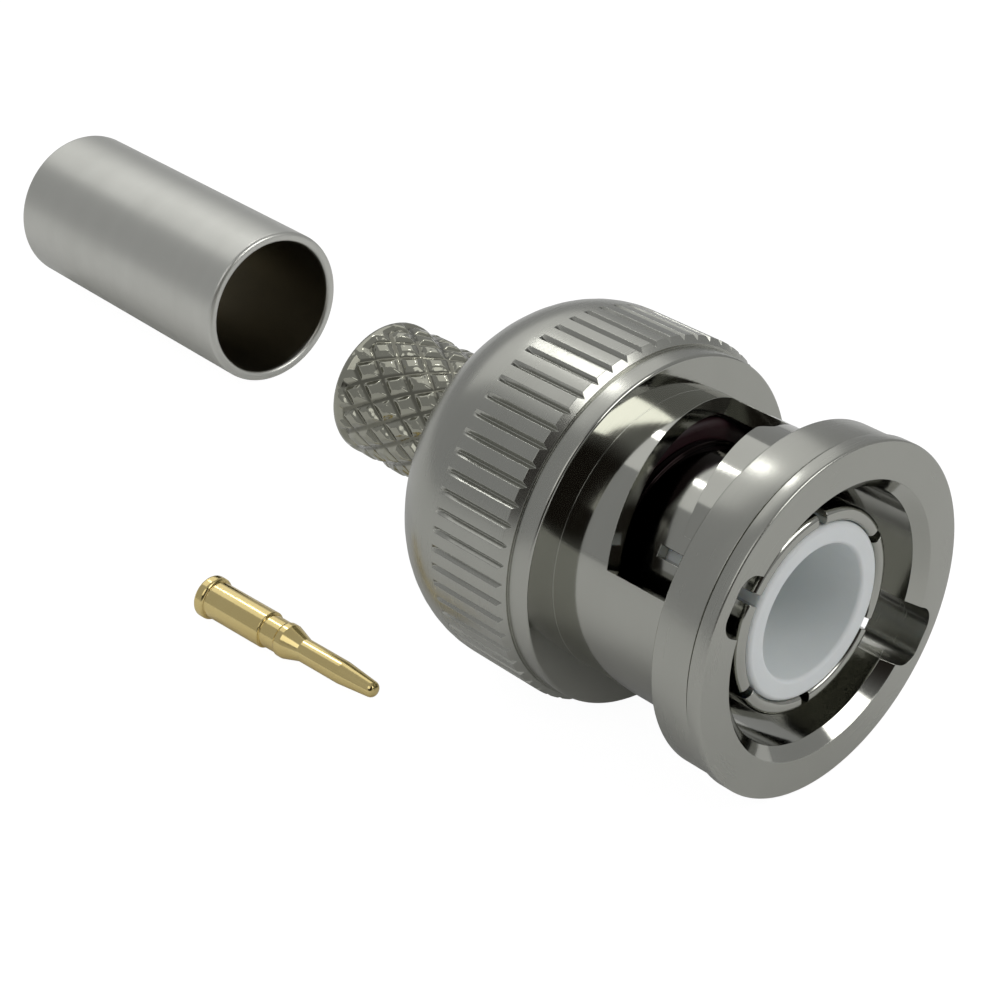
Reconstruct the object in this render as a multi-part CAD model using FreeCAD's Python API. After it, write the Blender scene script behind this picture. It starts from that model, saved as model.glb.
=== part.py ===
"""Crimp plug of the twist-lock coaxial kind, with its loose crimp ferrule and centre contact.

Millimetres, +Z up. The plug's axis is the X axis and its mating end faces +X. The origin is on
that axis, in the plane of the outer contact's front rim. The plug lies on the knurled band of its
coupling nut, and the ferrule and the contact lie beside it on the same level.
Angles about the axis are in degrees from straight up towards the -Y side.
"""
import FreeCAD, Part
import math
import os
from FreeCAD import Placement, Rotation, Vector

# Outer contact: a slit tube that grips the inside of the mating jack.
contact_outer_radius = 4.0
contact_wall = 0.55
contact_bead_height = 0.12
contact_bead_length = 0.3
contact_seat_step = 0.15
contact_seat_depth = 1.7
slit_count = 6
slit_width = 0.42
slit_length = 4.3
slit_first_angle = -1.5

# Gasket between the outer contact and the nut's bore.
gasket_width = 0.74
gasket_thickness = 1.1

# Coupling nut, lengths from the mating face to the back.
face_overhang = 0.85
lip_length = 0.6
collar_length = 2.35
neck_length = 5.8
ring_length = 0.9
grip_length = 3.65
web_length = 3.3

# Coupling nut, across: the neck's wall, then how far each larger band stands out from it.
neck_wall = 0.68
collar_step = 1.1
lip_step = 1.2
ring_step = 1.35
ring_edge = 0.4
grip_step = 1.7
grip_edge = 0.25
dome_radius = 3.9
dome_slope = 62.0
dome_drop = 2.35
bore_chamfer = 0.45

# Flutes of the grip band.
flute_count = 60
flute_width = 0.28
flute_depth = 0.15
flute_first_angle = 2.6

# Bayonet slots: an entry groove from the mating face, a helical window and a detent.
slot_count = 2
slot_entry_angle = 59.5
slot_lock_angle = -17.5
stud_room_radius = 1.15
collar_skin = 0.45
track_corner = 0.7
ramp_gap = 0.8
ramp_rise = 1.75
window_entry_width = 2.87
window_rear_rise = 1.3
detent_depth = 0.4
detent_spread = 9.0

# Insulator: a white cup whose thick bottom holds the centre contact.
cup_wall = 0.83
cup_depth = 5.4
cup_corner = 0.35

# Washers, spring and rings, from the nut's web forward.
washer_thickness = 0.45
spring_height = 1.2
spring_thickness = 0.22
spring_waves = 3
flange_thickness = 0.9
snap_ring_thickness = 0.6
snap_ring_width = 0.75
snap_ring_gap_angle = 40.0

# Body.
boss_wall = 0.53
boss_length = 1.95
hub_radius = 3.6
hub_length = 5.11
hub_chamfer = 0.4
cable_bore_radius = 1.95

# Diamond knurl on the tail, which the cable's braid and the ferrule grip.
tail_crest_radius = 2.83
tail_knurl_depth = 0.15
tail_diamonds_around = 16
tail_diamond_rows = 8
tail_knurl_angle = 30.8
tail_land = 0.58
tail_end_length = 0.4
tail_end_edge = 0.3

# Centre contact, a turned pin with a hole for the cable's conductor.
pin_tip_radius = 0.48
pin_head_radius = 0.9
pin_head_length = 0.52
pin_barrel_radius = 0.77
pin_barrel_length = 3.0
pin_neck_radius = 0.67
pin_neck_length = 0.88
pin_barb_radius = 0.72
pin_barb_length = 0.25
pin_cone_length = 0.78
pin_shaft_length = 2.1
pin_taper_length = 1.75
pin_nose_radius = 0.32
wire_hole_radius = 0.42
wire_hole_depth = 3.0

# Crimp ferrule, a plain tube.
ferrule_radius = 3.68
ferrule_wall = 0.47
ferrule_length = 15.9

# Edge breaks and clearances.
bold_edge = 0.2
plain_edge = 0.12
fine_edge = 0.06
seat_gap = 0.05
insulator_gap = 0.15
fit_gap = 0.02
running_gap = 0.08

# Where the two loose pieces lie, and how far each is turned from the plug's axis.
ferrule_x = -37.41
ferrule_y = 5.64
ferrule_turn = -1.2
pin_x = -18.86
pin_y = -8.87
pin_turn = 5.6

# Radii that follow from the sizes above, from the axis outwards.
contact_inner_radius = contact_outer_radius - contact_wall
contact_seat_radius = contact_outer_radius - contact_seat_step
insulator_radius = contact_inner_radius - fit_gap
cup_radius = insulator_radius - cup_wall
contact_bore_radius = contact_seat_radius + fit_gap
boss_radius = contact_bore_radius + boss_wall
snap_inner_radius = boss_radius + running_gap
snap_outer_radius = snap_inner_radius + snap_ring_width
gasket_inner_radius = contact_seat_radius + fit_gap
gasket_outer_radius = contact_outer_radius + fit_gap + gasket_width
nut_bore_radius = gasket_outer_radius + 2 * running_gap
flange_radius = nut_bore_radius - running_gap
nut_hub_bore_radius = hub_radius + running_gap
neck_radius = nut_bore_radius + neck_wall
collar_radius = neck_radius + collar_step
lip_radius = neck_radius + lip_step
ring_radius = neck_radius + ring_step
grip_radius = neck_radius + grip_step
rear_face_radius = grip_radius - dome_drop
stud_track_radius = collar_radius - collar_skin
tail_root_radius = tail_crest_radius - tail_knurl_depth
tail_end_radius = tail_crest_radius + fit_gap
floor = -grip_radius

# Places along the axis that follow from the sizes above.
nut_front = face_overhang
collar_rear = nut_front - collar_length
neck_rear = collar_rear - neck_length
ring_rear = neck_rear - ring_length
grip_rear = ring_rear - grip_length
dome_corner = grip_rear - dome_radius * math.tan(math.radians(dome_slope / 2))
nut_rear = dome_corner - dome_drop / math.tan(math.radians(dome_slope))
web_front = nut_rear + web_length
washer_rear = web_front + seat_gap
washer_front = washer_rear + washer_thickness
spring_rear = washer_front + seat_gap
spring_front = spring_rear + spring_height
flange_rear = spring_front + seat_gap
flange_front = flange_rear + flange_thickness
snap_rear = flange_front + seat_gap
snap_front = snap_rear + snap_ring_thickness
boss_front = flange_front + boss_length
gasket_rear = boss_front + seat_gap
gasket_front = gasket_rear + gasket_thickness
bead_rear = gasket_front + seat_gap
bead_front = bead_rear + contact_bead_length
contact_rear = boss_front - contact_seat_depth
insulator_rear = contact_rear + insulator_gap
shoulder_rear = flange_rear - hub_length
tail_half_pitch = math.pi * tail_root_radius / (
    tail_diamonds_around * math.tan(math.radians(tail_knurl_angle)))
tail_knurl_rear = shoulder_rear - tail_diamond_rows * tail_half_pitch
tail_rear = tail_knurl_rear - tail_end_length

axis_x = Vector(1, 0, 0)
origin = Vector(0, 0, 0)


def place(x, radius, angle):
    """The point at a distance along the axis, a radius from it and an angle about it."""
    turn = math.radians(angle)
    return Vector(x, -radius * math.sin(turn), radius * math.cos(turn))


def profile_wire(corners):
    """A closed wire in the X-Z plane.

    A corner is (x, z) if it is sharp, (x, z, size) if it is broken flat, and (x, z, size, "round")
    if it is an arc of that radius.
    """
    points = [Vector(corner[0], 0, corner[1]) for corner in corners]
    spans = []
    for i, (_, _, *finish) in enumerate(corners):
        here = points[i]
        if not finish:
            spans.append((here, None, here))
            continue
        back = (points[i - 1] - here).normalize()
        ahead = (points[(i + 1) % len(points)] - here).normalize()
        size = finish[0]
        half = back.getAngle(ahead) / 2
        reach = size / math.tan(half) if "round" in finish else size
        middle = None
        if "round" in finish:
            middle = here + (back + ahead).normalize() * (size / math.sin(half) - size)
        spans.append((here + back * reach, middle, here + ahead * reach))
    edges = []
    for i, (start, middle, end) in enumerate(spans):
        if middle is not None:
            edges.append(Part.Arc(start, middle, end).toShape())
        elif start != end:
            edges.append(Part.LineSegment(start, end).toShape())
        following = spans[(i + 1) % len(spans)][0]
        if following != end:
            edges.append(Part.LineSegment(end, following).toShape())
    return Part.Wire(edges)


def turned(corners):
    """A solid of revolution about the X axis; z in each corner is its radius."""
    return Part.Face(profile_wire(corners)).revolve(origin, axis_x, 360)


def around(shape, count, first_angle=0.0):
    """Copies of a shape, evenly spaced about the X axis, the first turned to first_angle."""
    copies = []
    for i in range(count):
        copy = shape.copy()
        copy.rotate(origin, axis_x, first_angle + i * 360.0 / count)
        copies.append(copy)
    return copies


def solid_between(front_inner, front_outer, rear_inner, rear_outer, end_faces=()):
    """The solid enclosed by the ruled faces between four rails, with faces that close its ends."""
    faces = [
        Part.makeRuledSurface(front_inner, front_outer),
        Part.makeRuledSurface(rear_inner, rear_outer),
        Part.makeRuledSurface(front_inner, rear_inner),
        Part.makeRuledSurface(front_outer, rear_outer),
    ]
    skin = Part.makeCompound(faces + list(end_faces))
    skin.sewShape(1e-4)
    solid = Part.Solid(Part.Shell(skin.Faces))
    solid.fix(1e-4, 1e-4, 1e-4)
    if solid.Volume < 0:
        solid.reverse()
    return solid


def window_front(angle):
    """Where the slot's front wall lies: a helical ramp that dips forward into the detent."""
    share = (slot_entry_angle - angle) / (slot_entry_angle - slot_lock_angle)
    nearness = (angle - slot_lock_angle) / detent_spread
    dip = 0.5 + 0.5 * math.cos(math.pi * min(max(nearness, 0.0), 1.0))
    return collar_rear - ramp_gap - ramp_rise * share + detent_depth * dip


def window_rear(angle):
    """Where the slot's rear wall lies."""
    share = (slot_entry_angle - angle) / (slot_entry_angle - slot_lock_angle)
    return collar_rear - ramp_gap - window_entry_width - window_rear_rise * share


def bayonet_window():
    """The helical opening that a jack's stud travels along, as a solid to cut away."""
    half_turn = math.degrees(math.asin(stud_room_radius / neck_radius))
    first = slot_entry_angle + half_turn
    last = slot_lock_angle - half_turn
    steps = 36
    angles = [first + (last - first) * i / steps for i in range(steps + 1)]
    inner = nut_bore_radius - neck_wall
    outer = neck_radius + neck_wall

    def rail(wall, radius):
        curve = Part.BSplineCurve()
        curve.interpolate([place(wall(a), radius, a) for a in angles])
        return curve.toShape()

    ends = []
    for angle in (first, last):
        loop = [place(window_front(angle), inner, angle), place(window_front(angle), outer, angle),
                place(window_rear(angle), outer, angle), place(window_rear(angle), inner, angle)]
        ends.append(Part.Face(Part.makePolygon(loop + loop[:1])))
    return solid_between(rail(window_front, inner), rail(window_front, outer),
                         rail(window_rear, inner), rail(window_rear, outer), ends)


def entry_groove():
    """The blind groove that lets a stud in from the mating face, as a solid to cut away."""
    rear = window_front(slot_entry_angle) - stud_room_radius
    low = nut_bore_radius - neck_wall
    half = stud_room_radius
    section = Part.Face(profile_wire([(-half, low), (half, low),
                                      (half, stud_track_radius, track_corner, "round"),
                                      (-half, stud_track_radius, track_corner, "round")]))
    section.rotate(origin, Vector(0, 0, 1), 90)
    section.translate(Vector(rear, 0, 0))
    groove = section.extrude(Vector(nut_front + collar_length - rear, 0, 0))
    groove.rotate(origin, axis_x, slot_entry_angle)
    return groove


def grip_flute():
    """A V-shaped flute that runs out at the back of the grip band, as a solid to cut away."""
    start = grip_rear + flute_depth
    top = grip_radius + flute_depth
    corners = [Vector(start, -flute_width, top), Vector(start, flute_width, top),
               Vector(start, 0, grip_radius - flute_depth)]
    section = Part.makePolygon(corners + corners[:1])
    straight = Part.Face(section).extrude(Vector(ring_rear + ring_length / 3 - start, 0, 0))
    run_out = Part.makeLoft([section, Part.Vertex(grip_rear - flute_depth, 0, top)], True, True)
    return straight.fuse(run_out)


def coupling_nut():
    """The nut: lip, collar, slotted neck, ring, fluted band and domed back."""
    groove_front = snap_front + fit_gap
    groove_rear = snap_rear - fit_gap
    groove_radius = snap_outer_radius + running_gap
    nut = turned([
        (nut_front - bore_chamfer, nut_bore_radius),
        (nut_front, nut_bore_radius + bore_chamfer),
        (nut_front, lip_radius, bold_edge),
        (nut_front - lip_length, lip_radius),
        (nut_front - lip_length, collar_radius),
        (collar_rear, collar_radius, plain_edge),
        (collar_rear, neck_radius),
        (neck_rear, neck_radius),
        (neck_rear, ring_radius, ring_edge),
        (ring_rear, ring_radius),
        (ring_rear, grip_radius, grip_edge),
        (dome_corner, grip_radius, dome_radius, "round"),
        (nut_rear, rear_face_radius, bold_edge),
        (nut_rear, nut_hub_bore_radius, bold_edge),
        (web_front, nut_hub_bore_radius),
        (web_front, nut_bore_radius),
        (groove_rear, nut_bore_radius),
        (groove_rear, groove_radius),
        (groove_front, groove_radius),
        (groove_front, nut_bore_radius),
    ])
    nut = nut.cut(around(bayonet_window(), slot_count))
    nut = nut.cut(around(entry_groove(), slot_count))
    return nut.cut(around(grip_flute(), flute_count, flute_first_angle))


def outer_contact():
    """The slit tube that makes the shield's contact, with a bead that keeps the gasket back."""
    tube = turned([
        (0, contact_inner_radius, fine_edge),
        (0, contact_outer_radius, bold_edge),
        (bead_front, contact_outer_radius),
        (bead_front, contact_outer_radius + contact_bead_height, fine_edge),
        (bead_rear, contact_outer_radius + contact_bead_height),
        (bead_rear, contact_seat_radius),
        (contact_rear, contact_seat_radius),
        (contact_rear, contact_inner_radius),
    ])
    reach = 2 * contact_outer_radius
    slit = Part.makeBox(slit_length, slit_width, reach, Vector(-slit_length, -slit_width / 2, 0))
    slit = slit.fuse(Part.makeCylinder(slit_width / 2, reach, Vector(-slit_length, 0, 0)))
    return tube.cut(around(slit, slit_count, slit_first_angle))


def insulator():
    """The insulator: an open cup whose bottom is bored for the centre contact's barrel."""
    bore = pin_barrel_radius + fit_gap
    return turned([
        (0, cup_radius, plain_edge),
        (0, insulator_radius, plain_edge),
        (insulator_rear, insulator_radius),
        (insulator_rear, bore),
        (-cup_depth, bore),
        (-cup_depth, cup_radius, cup_corner),
    ])


def connector_body():
    """The turned body: boss, flange, hub and a tail barrel with a diamond knurl."""
    step = contact_rear - fit_gap
    body = turned([
        (boss_front, contact_bore_radius),
        (boss_front, boss_radius, plain_edge),
        (flange_front, boss_radius),
        (flange_front, flange_radius),
        (flange_rear, flange_radius),
        (flange_rear, hub_radius),
        (shoulder_rear, hub_radius, hub_chamfer),
        (shoulder_rear, cable_bore_radius),
        (step, cable_bore_radius),
        (step, contact_bore_radius),
    ])
    end = turned([
        (tail_knurl_rear, cable_bore_radius),
        (tail_knurl_rear, tail_end_radius),
        (tail_rear, tail_end_radius, tail_end_edge),
        (tail_rear, cable_bore_radius, plain_edge),
    ])
    hole = Part.makeCylinder(cable_bore_radius, shoulder_rear - tail_rear + tail_end_length,
                             Vector(tail_rear, 0, 0), axis_x)
    return body.fuse([diamond_barrel().cut(hole), end])


def diamond_barrel():
    """A round bar whose surface is a net of raised, flat-topped diamonds."""
    pitch = 360.0 / tail_diamonds_around
    vertices = []
    facets = []

    def vertex(row, turn, radius):
        vertices.append(place(shoulder_rear - row * tail_half_pitch, radius, turn * pitch))
        return len(vertices) - 1

    def side(a, b, top_b, top_a):
        facets.append((a, b, top_b))
        facets.append((a, top_b, top_a))

    valley = {}
    for row in range(tail_diamond_rows + 1):
        for i in range(tail_diamonds_around):
            valley[row, i] = vertex(row, i + 0.5 * (row % 2), tail_root_radius)
    front_hub = vertex(0, 0, 0)
    rear_hub = vertex(tail_diamond_rows, 0, 0)
    for row in range(tail_diamond_rows + 1):
        for i in range(tail_diamonds_around):
            middle = i + 0.5 * (row % 2) + 0.5
            beside = (i + row % 2) % tail_diamonds_around
            left = valley[row, i]
            right = valley[row, (i + 1) % tail_diamonds_around]
            top_left = vertex(row, middle - tail_land / 2, tail_crest_radius)
            top_right = vertex(row, middle + tail_land / 2, tail_crest_radius)
            if row > 0:
                ahead = valley[row - 1, beside]
                top_ahead = vertex(row - tail_land, middle, tail_crest_radius)
                side(left, ahead, top_ahead, top_left)
                side(ahead, right, top_right, top_ahead)
                facets.append((top_left, top_ahead, top_right))
            else:
                facets.extend([(front_hub, top_left, left), (front_hub, top_right, top_left),
                               (front_hub, right, top_right)])
            if row < tail_diamond_rows:
                behind = valley[row + 1, beside]
                top_behind = vertex(row + tail_land, middle, tail_crest_radius)
                side(right, behind, top_behind, top_right)
                side(behind, left, top_left, top_behind)
                facets.append((top_left, top_right, top_behind))
            else:
                facets.extend([(rear_hub, left, top_left), (rear_hub, top_left, top_right),
                               (rear_hub, top_right, right)])
    net = Part.Shape()
    net.makeShapeFromMesh((vertices, facets), 1e-4)
    bar = Part.Solid(net)
    if bar.Volume < 0:
        bar.reverse()
    return bar


def gasket():
    """The rubber ring that the jack's rim is pulled against."""
    return turned([
        (gasket_front, gasket_inner_radius),
        (gasket_front, gasket_outer_radius, bold_edge),
        (gasket_rear, gasket_outer_radius),
        (gasket_rear, gasket_inner_radius),
    ])


def snap_ring():
    """The split ring in the nut's groove that keeps the nut on the body."""
    ring = turned([
        (snap_front, snap_inner_radius),
        (snap_front, snap_outer_radius),
        (snap_rear, snap_outer_radius),
        (snap_rear, snap_inner_radius),
    ])
    reach = 2 * snap_outer_radius
    half = reach * math.tan(math.radians(snap_ring_gap_angle / 2))
    start = snap_rear - snap_ring_thickness
    wedge = Part.makePolygon([Vector(start, 0, 0), Vector(start, -half, reach),
                              Vector(start, half, reach), Vector(start, 0, 0)])
    return ring.cut(Part.Face(wedge).extrude(Vector(3 * snap_ring_thickness, 0, 0)))


def thrust_washer():
    """The flat washer that the nut pushes the spring with."""
    return turned([
        (washer_front, nut_hub_bore_radius),
        (washer_front, flange_radius),
        (washer_rear, flange_radius),
        (washer_rear, nut_hub_bore_radius),
    ])


def wave_spring():
    """A wavy washer: its height swings evenly round the ring and it flattens under load."""
    swing = (spring_height - spring_thickness) / 2
    centre = (spring_front + spring_rear) / 2
    inner = nut_hub_bore_radius + fit_gap
    outer = flange_radius - fit_gap
    steps = 12 * spring_waves

    def rail(radius, offset):
        points = []
        for i in range(steps):
            angle = 360.0 * i / steps
            lift = swing * math.cos(math.radians(spring_waves * angle))
            points.append(place(centre + lift + offset, radius, angle))
        curve = Part.BSplineCurve()
        curve.interpolate(Points=points, PeriodicFlag=True)
        return curve.toShape()

    half = spring_thickness / 2
    return solid_between(rail(inner, half), rail(outer, half), rail(inner, -half), rail(outer, -half))


def crimp_ferrule():
    """The tube that is crimped over the cable's braid, lying on its side."""
    inner = ferrule_radius - ferrule_wall
    edge = ferrule_wall / 3
    tube = turned([
        (0, inner, edge),
        (0, ferrule_radius, edge),
        (-ferrule_length, ferrule_radius, edge),
        (-ferrule_length, inner, edge),
    ])
    turn = Rotation(Vector(0, 0, 1), ferrule_turn)
    tube.Placement = Placement(Vector(ferrule_x, ferrule_y, floor + ferrule_radius), turn)
    return tube


def contact_pin():
    """The centre contact, lying on its head and the front edge of its barrel."""
    head_front = -pin_head_length
    barrel_front = head_front - pin_barrel_length
    neck_front = barrel_front - pin_neck_length
    barb_front = neck_front - pin_barb_length
    cone_front = barb_front - pin_cone_length
    shaft_front = cone_front - pin_shaft_length
    tip = shaft_front - pin_taper_length
    pin = turned([
        (0, wire_hole_radius, plain_edge),
        (0, pin_head_radius, bold_edge),
        (head_front, pin_head_radius, bold_edge),
        (head_front, pin_barrel_radius),
        (barrel_front, pin_barrel_radius, fine_edge),
        (barrel_front, pin_neck_radius),
        (neck_front, pin_neck_radius),
        (neck_front, pin_barb_radius),
        (barb_front, pin_barb_radius),
        (cone_front, pin_tip_radius),
        (shaft_front, pin_tip_radius),
        (tip, pin_nose_radius, bold_edge),
        (tip, 0),
        (-wire_hole_depth, 0),
        (-wire_hole_depth, wire_hole_radius),
    ])
    pin.rotate(origin, Vector(0, 0, 1), 180)
    lean = math.degrees(math.atan((pin_head_radius - pin_barrel_radius) / pin_barrel_length))
    pin.rotate(origin, Vector(0, 1, 0), lean)
    pin.rotate(origin, Vector(0, 0, 1), pin_turn)
    box = pin.optimalBoundingBox()
    pin.translate(Vector(pin_x - box.Center.x, pin_y - box.Center.y, floor - box.ZMin))
    return pin


pieces = {
    "coupling_nut": coupling_nut,
    "connector_body": connector_body,
    "outer_contact": outer_contact,
    "insulator": insulator,
    "gasket": gasket,
    "snap_ring": snap_ring,
    "thrust_washer": thrust_washer,
    "wave_spring": wave_spring,
    "crimp_ferrule": crimp_ferrule,
    "contact_pin": contact_pin,
}

os.makedirs("parts", exist_ok=True)
for name, build in pieces.items():
    shape = build()
    if shape.ShapeType == "Compound" and len(shape.Solids) == 1:
        shape = shape.Solids[0]
    shape.exportStep("parts/" + name + ".step")
    box = shape.optimalBoundingBox()
    print(f"{name}: {len(shape.Solids)} solid, valid {shape.isValid()}, {shape.Volume:.2f} mm3, "
          f"x {box.XMin:.2f} to {box.XMax:.2f}, z {box.ZMin:.2f} to {box.ZMax:.2f}")
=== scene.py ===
# %% [markdown]
# # A coaxial crimp plug, its ferrule and its centre contact
#
# We load the solids as a fixed frame first, so that every new surface can be laid exactly where
# its solid lies.

import math

import bmesh
import bpy
import numpy as np
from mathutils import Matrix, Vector


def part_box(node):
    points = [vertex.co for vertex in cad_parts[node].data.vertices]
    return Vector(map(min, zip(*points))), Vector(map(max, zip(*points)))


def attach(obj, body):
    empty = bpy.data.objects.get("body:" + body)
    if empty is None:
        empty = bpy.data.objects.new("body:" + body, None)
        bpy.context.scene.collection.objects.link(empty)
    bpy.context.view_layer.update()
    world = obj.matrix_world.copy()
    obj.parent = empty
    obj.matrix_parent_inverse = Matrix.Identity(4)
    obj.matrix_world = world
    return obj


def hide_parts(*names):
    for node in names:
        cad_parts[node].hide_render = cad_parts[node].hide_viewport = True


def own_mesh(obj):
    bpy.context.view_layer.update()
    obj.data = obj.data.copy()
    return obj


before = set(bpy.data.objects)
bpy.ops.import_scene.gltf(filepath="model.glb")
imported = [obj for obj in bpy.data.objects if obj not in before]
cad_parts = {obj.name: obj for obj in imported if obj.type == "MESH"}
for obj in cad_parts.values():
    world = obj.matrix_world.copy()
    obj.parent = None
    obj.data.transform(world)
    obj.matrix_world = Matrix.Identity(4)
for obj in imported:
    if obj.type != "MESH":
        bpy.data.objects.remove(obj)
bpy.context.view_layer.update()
mm = 0.001
weld_distance = 2e-6
bevel_angle = math.radians(32)


def reach(node):
    """Lowest x, highest x, and half the width across Y of a node, in millimetres."""
    low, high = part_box(node)
    return low.x / mm, high.x / mm, (high.y - low.y) / 2 / mm


nut_rear, nut_front, grip_radius = reach("coupling_nut")
tail_rear, boss_front, flange_radius = reach("connector_body")
contact_rear, _, bead_radius = reach("outer_contact")
insulator_rear, _, insulator_radius = reach("insulator")
gasket_rear, gasket_front, gasket_radius = reach("gasket")
print(f"plug from {tail_rear:.2f} to {nut_front:.2f} mm, radius {grip_radius:.2f}")

# %% [markdown]
# ## Surfaces as grids of points
#
# Almost everything here was made on a lathe, so almost everything is a profile carried round an
# axis. A profile is a list of corners, and `rounded` bends it round a small arc at each corner,
# because no machined edge is perfectly sharp and it is the edges that catch the light. `Skin`
# collects grids of points, welds them where they meet and hands one closed mesh to Blender.
#
# Smooth shading averages the normals round each point, and near an edge that bends the mirror image
# in the flat beside it. So a bevelled piece has hardened normals, and every other piece has normals
# that lean on its large faces.

# %% Profiles and skins
def place(x, radius, angle):
    """Points (x, -r sin a, r cos a): x along the axis, r from it, a in degrees from straight up."""
    x, radius, angle = np.broadcast_arrays(x, radius, np.radians(angle))
    return np.stack([x, -radius * np.sin(angle), radius * np.cos(angle)], -1)


def rounded(corners, steps=5, closed=True):
    """A polyline through (x, r, size) corners.

    At a corner of size s the path leaves its first side a length s / tan(half the angle) before
    the corner, follows the arc of radius s that touches both sides, and goes on along the second.
    """
    path = []
    corners = [tuple(corner) + (0,) * (3 - len(corner)) for corner in corners]
    for i, (x, r, size) in enumerate(corners):
        here = np.array([x, r], float)
        inside = closed or 0 < i < len(corners) - 1
        if not size or not inside:
            path.append(here)
            continue
        back = np.array(corners[i - 1][:2], float) - here
        ahead = np.array(corners[(i + 1) % len(corners)][:2], float) - here
        back /= np.linalg.norm(back)
        ahead /= np.linalg.norm(ahead)
        half = math.acos(np.clip(back @ ahead, -1, 1)) / 2
        middle = here + (back + ahead) / np.linalg.norm(back + ahead) * size / math.sin(half)
        start = here + back * size / math.tan(half) - middle
        end = here + ahead * size / math.tan(half) - middle
        share = np.linspace(0, 1, steps + 1)[:, None]
        turn = math.pi - 2 * half
        arc = (np.sin((1 - share) * turn) * start + np.sin(share * turn) * end) / math.sin(turn)
        path.extend(middle + arc)
    return np.array(path)


class Skin:
    """Grids and polygons of points in millimetres, welded into one mesh."""

    def __init__(self):
        self.points = []
        self.faces = []
        self.count = 0

    def grid(self, points, wrap=False):
        """A grid of rows by columns points; wrap joins its last column to its first."""
        rows, columns = points.shape[:2]
        number = np.arange(rows * columns).reshape(rows, columns) + self.count
        if wrap:
            number = np.concatenate([number, number[:, :1]], 1)
        quads = np.stack([number[:-1, :-1], number[:-1, 1:], number[1:, 1:], number[1:, :-1]], -1)
        self.points.append(points.reshape(-1, 3))
        self.faces.append(quads.reshape(-1, 4))
        self.count += rows * columns

    def polygon(self, points):
        """One flat face through its points in order."""
        self.points.append(points)
        self.faces.append(np.arange(len(points))[None] + self.count)
        self.count += len(points)

    def mesh(self, name):
        """Welds points closer than the weld distance and turns every face outwards."""
        mesh = bpy.data.meshes.new(name)
        faces = [face for group in self.faces for face in group.tolist()]
        mesh.from_pydata(np.concatenate(self.points) * mm, [], faces)
        shell = bmesh.new()
        shell.from_mesh(mesh)
        bmesh.ops.remove_doubles(shell, verts=shell.verts, dist=weld_distance)
        bmesh.ops.recalc_face_normals(shell, faces=shell.faces)
        open_edges = sum(not edge.is_manifold for edge in shell.edges)
        shell.to_mesh(mesh)
        shell.free()
        mesh.shade_smooth()
        print(f"{name}: {len(mesh.polygons)} faces, {open_edges} open edges")
        return mesh


def lean_on_large_faces(mesh):
    """Shading normals weighted by the square of each face's area, so that flats mirror as flats."""
    normals = np.zeros((len(mesh.vertices), 3))
    for face in mesh.polygons:
        normals[list(face.vertices)] += np.array(face.normal) * (face.area / mm ** 2) ** 2
    lengths = np.linalg.norm(normals, axis=1, keepdims=True)
    mesh.normals_split_custom_set_from_vertices(normals / np.maximum(lengths, 1e-12))


def add_piece(name, skin, body, nodes, bevel=0.0):
    """An object from a skin that rides on a body and stands for its CAD nodes."""
    piece = bpy.data.objects.new(name, skin.mesh(name))
    bpy.context.scene.collection.objects.link(piece)
    if bevel:
        edges = piece.modifiers.new("worn edges", "BEVEL")
        edges.width = bevel * mm
        edges.segments = 2
        edges.limit_method = "ANGLE"
        edges.angle_limit = bevel_angle
        edges.use_clamp_overlap = False
        edges.harden_normals = True
    else:
        lean_on_large_faces(piece.data)
    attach(piece, body)
    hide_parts(*nodes)
    return piece


def turned(profile, columns=256, closed=True):
    """A lathe surface: the point (x, r) of the profile at angle a is place(x, r, a)."""
    skin = Skin()
    if closed:
        profile = np.concatenate([profile, profile[:1]])
    angles = np.linspace(0, 360, columns, endpoint=False)
    skin.grid(place(profile[:, :1], profile[:, 1:], angles[None]), wrap=True)
    return skin


# %% [markdown]
# ## The coupling nut
#
# The nut is turned too, but three things break its roundness: sixty flutes round the grip, two
# grooves that let the studs of a jack in, and two helical windows that pull the studs home. They
# could be cut with Booleans, which leave ragged faces that no bevel likes. Instead the grid itself
# follows them. Its columns bunch up against the parallel walls of the grooves, two of its rows run
# along the edges of the windows, and near the grip its columns slide over to the flutes.

# %% Sizes of the nut
bore_radius = 4.92
bore_chamfer = 0.45
neck_radius = 5.6
collar_radius = 6.7
lip_radius = 6.8
ring_radius = 6.95
lip_rear = nut_front - 0.6
collar_rear = nut_front - 2.35
neck_rear = collar_rear - 5.8
ring_rear = neck_rear - 0.9
grip_rear = ring_rear - 3.65
dome_radius = 3.9
dome_slope = math.radians(62)
rear_face_radius = grip_radius - 2.35
hub_bore_radius = 3.68
web_front = nut_rear + 3.3
ring_groove_rear = -9.41
ring_groove_front = -8.77
ring_groove_radius = 5.31

lip_edge = 0.1
relief_size = 0.1
relief_edge = 0.03
collar_edge = 0.08
ring_edge = 0.12
ring_edge_steps = 6

window_gap = 0.8
window_width = 2.87
front_fall = 1.75
back_fall = 1.3
detent_depth = 0.4
detent_reach = 9.0

groove_half = 1.15
groove_top = 6.25
groove_corner = 0.7
entry_angle = 59.5
lock_angle = -17.5
flute_count = 60
flute_first_angle = 2.6
flute_depth = 0.15
flute_run_out = 0.24
grip_edge = 0.25


def half_angle(radius):
    """Half the groove's angle at a radius: the arc sine of half its width over that radius."""
    return math.degrees(math.asin(groove_half / radius))


window_start = lock_angle - half_angle(neck_radius)
window_columns = 154
groove_columns = 48
plain_columns = 158


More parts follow.
